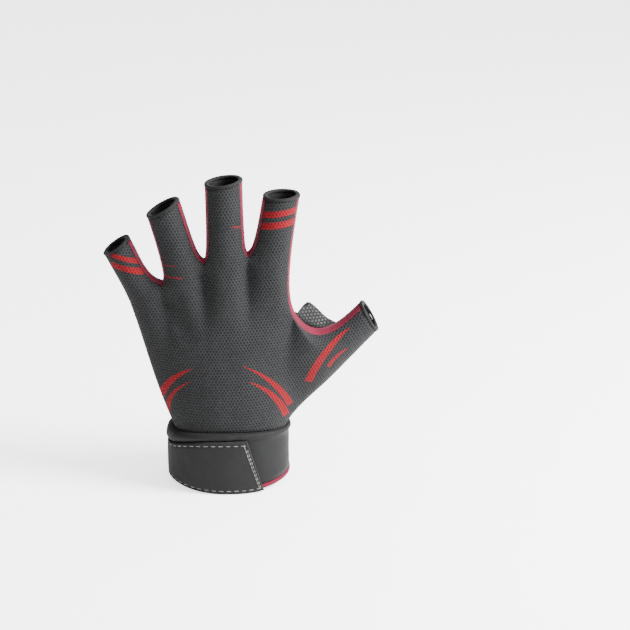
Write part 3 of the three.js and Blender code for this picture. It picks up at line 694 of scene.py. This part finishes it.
def stitches(name, path, normals, length, pitch, thickness, closed=True, material=THREAD):
    """A row of short thread capsules that follow a path, in millimetres, and lie along its surface."""
    points, faces = [], []
    ring = path + [path[0]] if closed else path
    tops = normals + [normals[0]] if closed else normals
    lengths = run_lengths(ring)
    total = lengths[-1]
    count = max(1, round(total / pitch)) if closed else max(1, int((total - length) / pitch) + 1)
    step = total / count if closed else pitch

    def at(distance):
        """Place and upward direction at a distance along the path."""
        distance = min(max(distance, 0.0), total)
        low, high = 0, len(lengths) - 1
        while high - low > 1:
            middle = (low + high) // 2
            if lengths[middle] <= distance:
                low = middle
            else:
                high = middle
        share = (distance - lengths[low]) / max(lengths[high] - lengths[low], 1e-9)
        return ring[low].lerp(ring[high], share), tops[low].lerp(tops[high], share).normalized()

    sides, rings = 8, 9
    for k in range(count):
        begin = k * step
        base = len(points)
        for r in range(rings):
            share = r / (rings - 1)
            point, up = at(begin + length * share)
            before, after = at(begin + length * share - 0.1)[0], at(begin + length * share + 0.1)[0]
            along = (after - before).normalized()
            side = along.cross(up).normalized()
            swell = math.sqrt(max(0.0, 1.0 - (2 * share - 1) ** 6)) * 0.92 + 0.08
            sink = 0.55 * thickness * (2 * share - 1) ** 4
            for j in range(sides):
                turn = 2 * math.pi * j / sides
                reach = side * (math.cos(turn) * thickness / 2) + up * (math.sin(turn) * thickness * 0.42)
                points.append(point + reach * swell + up * (0.22 * thickness - sink))
        for r in range(rings - 1):
            for j in range(sides):
                n = (j + 1) % sides
                a, b = base + r * sides, base + (r + 1) * sides
                faces.append((a + j, a + n, b + n, b + j))
        faces.append(tuple(base + j for j in reversed(range(sides))))
        faces.append(tuple(base + (rings - 1) * sides + j for j in range(sides)))
    obj = mesh_object(name, points, faces)
    outward(obj)
    return dress(obj, [material])


# Palm pads

def spline(points, per_span):
    """Closed smooth curve through the points."""
    curve = []
    n = len(points)
    for i in range(n):
        p0, p1, p2, p3 = points[i - 1], points[i], points[(i + 1) % n], points[(i + 2) % n]
        for k in range(per_span):
            t = k / per_span
            v0, v1 = (p2 - p0) * 0.5, (p3 - p1) * 0.5
            curve.append((p1 * 2 - p2 * 2 + v0 + v1) * t ** 3
                         + (p1 * -3 + p2 * 3 - v0 * 2 - v1) * t ** 2 + v0 * t + p1)
    return curve


def even(points, count):
    """The same closed curve with evenly spaced points."""
    ring = points + [points[0]]
    lengths = run_lengths(ring)
    result, i = [], 0
    for k in range(count):
        wanted = lengths[-1] * k / count
        while lengths[i + 1] < wanted:
            i += 1
        share = (wanted - lengths[i]) / (lengths[i + 1] - lengths[i])
        result.append(ring[i].lerp(ring[i + 1], share))
    return result


def surface_under(obj):
    """Depth of the palm's outer side, in millimetres, at a place of the layout."""
    tree = BVHTree.FromObject(obj, bpy.context.evaluated_depsgraph_get())

    def depth(x, z):
        hit = tree.ray_cast(Vector((x * MM, 0.2, z * MM)), Vector((0, -1, 0)))
        return hit[0].y / MM if hit[0] else None

    return depth


palm_depth = surface_under(palm)

# Sizes of the pads' covers in millimetres: seam from the rim, stitches, and grid of points
STITCH_INSET = 1.5
PAD_PITCH = 4.3
PAD_STITCH_LENGTH = 2.7
PAD_STITCH_THICKNESS = 0.85
PAD_GRID = 0.85


def point_in(outline, x, z):
    """Whether a place is inside the outline."""
    inside = False
    for a, b in zip(outline, outline[1:] + outline[:1]):
        if (a.y > z) != (b.y > z) and x < (b.x - a.x) * (z - a.y) / (b.y - a.y) + a.x:
            inside = not inside
    return inside


def pad_height(distance, along):
    """Height of a pad's cover over the palm, at a distance from its rim and a length along its seam."""
    pinch = 0.5 + 0.5 * math.cos(2 * math.pi * along / PAD_PITCH)
    rise = lerp(PAD_EDGE, PAD_CROWN, smooth(distance, STITCH_INSET * 0.8, STITCH_INSET + 4.2))
    groove = math.exp(-((distance - STITCH_INSET) / 0.75) ** 2) * lerp(0.25, 0.5, pinch)
    return rise - groove


def palm_around(x, z):
    """Depth of the palm at a place, and its mean depth there and on two rings round the place."""
    here = palm_depth(x, z)
    depths = [here]
    for radius in (2.0, 4.0):
        for k in range(8):
            turn = 2 * math.pi * k / 8
            depths.append(palm_depth(x + radius * math.cos(turn), z + radius * math.sin(turn)))
    met = [depth for depth in depths if depth is not None]
    mean = sum(met) / len(met) if met else 0.0
    return (mean if here is None else here), mean


def grid_inside(outline, rim):
    """Places of a staggered grid inside the outline, none of them too near its rim."""
    low = Vector((min(p.x for p in outline), min(p.y for p in outline)))
    high = Vector((max(p.x for p in outline), max(p.y for p in outline)))
    places = []
    for r in range(int((high.y - low.y) / PAD_GRID) + 1):
        for c in range(int((high.x - low.x) / PAD_GRID) + 1):
            x = low.x + (c + 0.5 * (r % 2)) * PAD_GRID
            z = low.y + r * PAD_GRID
            if point_in(outline, x, z) and rim.find((x, z, 0))[2] > 0.6 * PAD_GRID:
                places.append(Vector((x, z)))
    return places


def shell_faces(triangles, n):
    """Faces of a closed shell: the triangles, the same ones n points on, and a wall round their rim."""
    faces = [tuple(reversed(t)) for t in triangles] + [tuple(n + i for i in t) for t in triangles]
    edges = {(a, b): True for t in triangles for a, b in zip(t, list(t[1:]) + [t[0]])}
    for a, b in edges:
        if (b, a) not in edges:
            faces.append((a, b, n + b, n + a))
    return faces


def sew_pad(node, cover, outline, fine):
    """A row of stitches along the groove of a pad's cover."""
    seam = []
    for i, p in enumerate(fine):
        along = (fine[(i + 1) % len(fine)] - fine[i - 1]).normalized()
        left = Vector((-along.y, along.x))
        probe = p + left * 0.8
        inwards = left if point_in(outline, probe.x, probe.y) else -left
        seam.append(p + inwards * STITCH_INSET)
    tree = BVHTree.FromObject(cover, bpy.context.evaluated_depsgraph_get())
    path, normals = [], []
    for p in seam[::3]:
        hit = tree.ray_cast(Vector((p.x * MM, 0.2, p.y * MM)), Vector((0, -1, 0)))
        if hit[0]:
            path.append(Vector(hit[0]) / MM)
            normals.append(Vector(hit[1]))
    stitches(node + "_stitches", path, normals, PAD_STITCH_LENGTH, PAD_PITCH, PAD_STITCH_THICKNESS)


def make_pad(node):
    corners = [Vector((x * PALM_WIDTH, lerp(CUFF_HEIGHT, GLOVE_HEIGHT, z))) for x, z in PADS[node]]
    curve = spline(corners, 12)
    size = sum((b - a).length for a, b in zip(curve, curve[1:] + curve[:1]))
    outline = even(curve, round(size / PAD_GRID))
    fine = even(curve, len(outline) * 4)
    rim = KDTree(len(fine))
    for i, p in enumerate(fine):
        rim.insert((p.x, p.y, 0), i)
    rim.balance()
    borders = [(i, (i + 1) % len(outline)) for i in range(len(outline))]
    places, _, triangles, _, _, _ = geometry.delaunay_2d_cdt(
        outline + grid_inside(outline, rim), borders, [list(range(len(outline)))], 1, 1e-6)

    tops, unders = [], []
    for p in places:
        _, index, distance = rim.find((p.x, p.y, 0))
        along = size * index / len(fine)
        here, mean = palm_around(p.x, p.y)
        base = lerp(here, max(mean, here), smooth(distance, 0.5, 6.0)) + PAD_GAP
        wave = noise.fractal(Vector((p.x, p.y, 3.7)) / 7.0, 0.7, 2.0, 4)
        y = base + pad_height(distance, along) + smooth(distance, 1.0, 5.0) * wave * 0.28
        if distance < 0.3:
            y = base + PAD_EDGE * 0.55
        tops.append(Vector((p.x, y, p.y)))
        unders.append(Vector((p.x, here + 0.12, p.y)))
    obj = mesh_object(node + "_cover", tops + unders, shell_faces(triangles, len(places)))
    outward(obj)
    dress(obj, [PAD], node)
    sew_pad(node, obj, outline, fine)


for node in PADS:
    make_pad(node)


# Cuff. The angle runs from the thumb's side, 0, over the back, 90 degrees, to the little finger's side, 180.

CUFF_STEPS = 240
WALL_STEPS = 8
ROLL_STEPS = 12


def cuff_oval(angle, out):
    """Place on the cuff's oval, x and y in millimetres, moved out by a distance."""
    power = 2 / CUFF_SQUARENESS
    c, s = math.cos(angle), math.sin(angle)
    return (
        (CUFF_WIDTH / 2 + out) * math.copysign(abs(c) ** power, c),
        -(CUFF_DEPTH / 2 + out) * math.copysign(abs(s) ** power, s),
    )


def side_share(angle):
    """1 at both sides of the hand, 0 at the back and the palm."""
    return math.cos(angle) ** 2


def little_share(angle):
    """1 at the little finger's side, 0 at the thumb's."""
    return ((1 - math.cos(angle)) / 2) ** 2


def rim_height(angle):
    return RIM_SIDE_RISE * side_share(angle)


def band_top(angle):
    return CUFF_HEIGHT - CUFF_SIDE_DROP * side_share(angle)


def strap_edge(angle):
    """Height of the strap's upper edge."""
    palm_share = (1 - math.sin(angle)) / 2
    drop = STRAP_SIDE_DROP * little_share(angle) * side_share(angle)
    return STRAP_TOP - STRAP_PALM_DROP * palm_share - drop


def cuff_point(angle, out, z):
    x, y = cuff_oval(angle, out)
    return Vector((x, y, z))


def sweep(name, sections, closed):
    """A mesh through rings of points. It ends where it starts if closed, and has two end faces if not."""
    points = [p for section in sections for p in section]
    n, faces = len(sections[0]), []
    last = len(sections) if closed else len(sections) - 1
    for i in range(last):
        following = (i + 1) % len(sections)
        for j in range(n):
            k = (j + 1) % n
            faces.append((i * n + j, i * n + k, following * n + k, following * n + j))
    if not closed:
        faces.append(tuple(range(n)))
        faces.append(tuple(reversed(range((len(sections) - 1) * n, len(sections) * n))))
    obj = mesh_object(name, points, faces)
    outward(obj)
    return obj


def ripple(angle, z, size, seed):
    """Unevenness from -1 to 1 at a place of the cuff."""
    place = cuff_point(angle, 0.0, z)
    return noise.noise(Vector((place.x, place.y, place.z * 1.6)) / size + Vector((seed, 0, 0)))


def make_band():
    """The band, whose top is rolled out over the strap's edge."""
    sections = []
    for i in range(CUFF_STEPS):
        angle = 2 * math.pi * i / CUFF_STEPS
        low = rim_height(angle) + BINDING_HEIGHT
        roll_low = strap_edge(angle) + SEAM_GAP
        top = band_top(angle)
        middle, half = (roll_low + top) / 2, (top - roll_low) / 2
        reach = lerp(ROLL_REACH_THUMB, ROLL_REACH, little_share(angle))
        section = []
        for k in range(WALL_STEPS + 1):
            z = lerp(low, roll_low, k / WALL_STEPS)
            section.append(cuff_point(angle, 0.12 * ripple(angle, z, 9.0, 1.0), z))
        for k in range(ROLL_STEPS + 1):
            turn = math.radians(lerp(-78, 78, k / ROLL_STEPS))
            fold = 0.35 * ripple(angle, middle, 5.0, 4.0) * math.cos(turn)
            out = (reach + fold) * math.cos(turn)
            section.append(cuff_point(angle, out, middle + half * math.sin(turn)))
        section.append(cuff_point(angle, -0.5, top + 0.02))
        section.append(cuff_point(angle, -BAND_WALL + 0.5, top - 0.1))
        for k in range(WALL_STEPS + 1):
            section.append(cuff_point(angle, -BAND_WALL, lerp(top - 0.6, low, k / WALL_STEPS)))
        sections.append(section)
    cover = sweep("wrist_band_cover", sections, True)
    # The rolled top takes the darker tape material: painted shade, where the roll curves inwards.
    painted_shade_roll = range(WALL_STEPS, WALL_STEPS + ROLL_STEPS + 3)
    for face in cover.data.polygons:
        if face.index % len(sections[0]) in painted_shade_roll:
            face.material_index = 1
    dress(cover, [NEOPRENE, TAPE_AND_ROLL_SHADE], "wrist_band")


def make_binding():
    """The bound edge of the wrist opening, flush with the band where the strap lies over it."""
    sections = []
    for i in range(CUFF_STEPS):
        angle = 2 * math.pi * i / CUFF_STEPS
        low = rim_height(angle)
        high = low + BINDING_HEIGHT - SEAM_GAP
        out = lerp(BINDING_PROUD, 0.0, smooth(little_share(angle), 0.1, 0.3))
        inner = -BAND_WALL - 0.3
        middle, half = (out + inner) / 2, (out - inner) / 2
        section = [cuff_point(angle, inner, high), cuff_point(angle, inner, lerp(low, high, 0.5))]
        for k in range(11):
            turn = math.pi * k / 10
            wave = 0.06 * ripple(angle, low, 2.2, 7.0)
            across = middle - math.cos(turn) * half
            section.append(cuff_point(angle, across + wave, low + 1.3 - 1.3 * math.sin(turn) ** 0.7))
        section.append(cuff_point(angle, out + 0.05, lerp(low, high, 0.55)))
        section.append(cuff_point(angle, out - 0.1, high - 0.15))
        section.append(cuff_point(angle, out - 0.4, high))
        sections.append(section)
    dress(sweep("wrist_binding_cover", sections, True), [CRIMSON], "wrist_binding")


def oval_angle(share):
    """Angle on the back half at which the oval's x is a share of half its width."""
    return math.acos(share ** (CUFF_SQUARENESS / 2))


STRAP_PALM_ANGLE = 2 * math.pi - oval_angle(STRAP_END_PALM)
STRAP_INNER = BINDING_PROUD + SEAM_GAP
STRAP_SEAM = 2.0
STRAP_TALL = 30.0
STRAP_LENGTH = 165.0
STRAP_FOLD = 7.6

# Length, pitch and thickness of the stitches on the strap's edges and ends
EDGE_STITCH = (3.0, 4.4, 0.52)
BACK_END_STITCH = (2.3, 2.7, 0.45)
PALM_END_STITCH = (2.1, 2.7, 0.6)
BACK_END_ROW_GAP = 1.3


def strap_point(share, up, out):
    """Point of the strap, at a share of its length, a share of its height and a distance outwards."""
    back_end = oval_angle(lerp(STRAP_END_BACK_RIM, STRAP_END_BACK_TOP, up))
    angle = lerp(back_end, STRAP_PALM_ANGLE, share)
    z = lerp(rim_height(angle), strap_edge(angle), up)
    return cuff_point(angle, STRAP_INNER + out, z)


def groove(distance, place, width, depth):
    """Depth of a soft groove that lies at a place, at a distance from the same edge."""
    return depth * math.exp(-((distance - place) / width) ** 2)


def strap_thickness(share, up):
    edge = min(up, 1 - up) * STRAP_TALL
    end = min(share, 1 - share) * STRAP_LENGTH
    near = min(edge, end)
    rounding = smooth(near, -0.4, 1.2)
    seam = max(groove(edge, STRAP_SEAM, 0.7, 0.42), groove(end, STRAP_SEAM, 0.7, 0.42))
    fold = groove((1 - share) * STRAP_LENGTH, STRAP_FOLD, 0.6, 0.35)
    puff = 0.12 * smooth(near, 2.0, 9.0)
    place = Vector((share * STRAP_LENGTH, up * STRAP_TALL * 0.6, 9.0))
    wave = 0.14 * noise.noise(place / 9.0) * smooth(near, 2.0, 7.0)
    return STRAP_WALL * lerp(0.55, 1.0, rounding) - seam - fold + puff + wave


def make_strap():
    along, across = 420, 60
    ups = [j / across for j in range(across + 1)]
    sections = []
    for i in range(along + 1):
        share = i / along
        outer = [strap_point(share, up, strap_thickness(share, up)) for up in ups]
        inner = [strap_point(share, up, 0.0) for up in reversed(ups)]
        sections.append(outer + inner)
    dress(sweep("closure_strap_cover", sections, False), [NEOPRENE], "closure_strap")


def strap_seam(name, shares, ups, stitch):
    """A row of stitches on the strap, from the first share and height to the second ones."""
    path, normals = [], []
    steps = 400
    for i in range(steps + 1):
        share = lerp(*shares, i / steps)
        up = lerp(*ups, i / steps)
        thickness = strap_thickness(share, up)
        point = strap_point(share, up, thickness)
        further = strap_point(share, up, thickness + 1.0)
        path.append(point)
        normals.append((further - point).normalized())
    stitches(name, path, normals, *stitch, False, GREY_THREAD)


make_band()
make_binding()
make_strap()
seam_low = STRAP_SEAM / STRAP_TALL
seam_high = 1 - seam_low
back_end = STRAP_SEAM / STRAP_LENGTH
palm_end = 1 - back_end
strap_seam("strap_top_stitches", (back_end, palm_end), (seam_high, seam_high), EDGE_STITCH)
strap_seam("strap_rim_stitches", (back_end, palm_end), (seam_low, seam_low), EDGE_STITCH)
for row, gap in (("outer", 0.0), ("inner", BACK_END_ROW_GAP / STRAP_LENGTH)):
    share = back_end + gap
    strap_seam("strap_back_end_stitches_" + row, (share, share), (seam_low, seam_high), BACK_END_STITCH)
strap_seam("strap_palm_end_stitches", (palm_end, palm_end), (seam_low, seam_high), PALM_END_STITCH)
cloth("pull_loop", TAPE_AND_ROLL_SHADE, inside=None, crease=0.5, seam=40.0)


# Floor and light. The floor glows more to the camera than to the glove, so that it is nearly white while
# the cloth stays dark.

FLOOR_REACH = 4.0
FLOOR_GLOW = 0.5
FLOOR_GLOW_SEEN = 1.9
SKY_LOW = 0.15
SKY_HIGH = 2.6
SKY_SLOPE = (0.6, 0.0, 0.8)
KEY_PLACE = (1.05, -0.3, 0.85)
KEY_AIM = (0.0, 0.0, 0.09)
KEY_SIZE = 0.5
KEY_POWER = 84.0


def make_floor():
    mesh = bpy.data.meshes.new("floor")
    reach = FLOOR_REACH
    mesh.from_pydata([(-reach, -reach, 0), (reach, -reach, 0), (reach, reach, 0), (-reach, reach, 0)],
                     [], [(0, 1, 2, 3)])
    obj = link("floor", mesh)
    s = Shader("floor_white", Specular_IOR_Level=0.1)
    s.shader.inputs["Emission Color"].default_value = (1.0, 1.0, 1.0, 1.0)
    seen = s.add("ShaderNodeLightPath").outputs["Is Camera Ray"]
    s.put(s.shader.inputs["Emission Strength"], s.scalar_mix(seen, FLOOR_GLOW, FLOOR_GLOW_SEEN))
    soft = s.noise(s.place(), 60.0, 2.0)
    colour = s.mix(soft, (0.94, 0.94, 0.94, 1), (0.955, 0.955, 0.955, 1))
    obj.data.materials.append(s.finish(colour, s.scalar_mix(soft, 0.8, 0.9), s.bump(soft, 0.2, 0.05)))


def make_key_light():
    """The main light, from the thumb's side."""
    data = bpy.data.lights.new("key", "AREA")
    data.shape = "RECTANGLE"
    data.size = KEY_SIZE
    data.size_y = KEY_SIZE
    data.energy = KEY_POWER
    light = bpy.data.objects.new("key", data)
    bpy.context.scene.collection.objects.link(light)
    aim(light, KEY_PLACE, KEY_AIM)


def make_world():
    """White surroundings, brightest overhead and dim low down at the left and the front."""
    world = bpy.data.worlds.new("studio")
    world.use_nodes = True
    tree = world.node_tree
    background = tree.nodes["Background"]
    coordinates = tree.nodes.new("ShaderNodeTexCoord")
    slope = tree.nodes.new("ShaderNodeVectorMath")
    slope.operation = "DOT_PRODUCT"
    slope.inputs[1].default_value = SKY_SLOPE
    tree.links.new(coordinates.outputs["Generated"], slope.inputs[0])
    fade = tree.nodes.new("ShaderNodeMapRange")
    fade.interpolation_type = "SMOOTHSTEP"
    for index, value in enumerate((-0.1, 1.0, SKY_LOW, SKY_HIGH)):
        fade.inputs[index + 1].default_value = value
    tree.links.new(slope.outputs["Value"], fade.inputs[0])
    tree.links.new(fade.outputs[0], background.inputs[1])
    background.inputs[0].default_value = (1.0, 1.0, 1.0, 1.0)
    bpy.context.scene.world = world


make_floor()
make_world()
make_key_light()
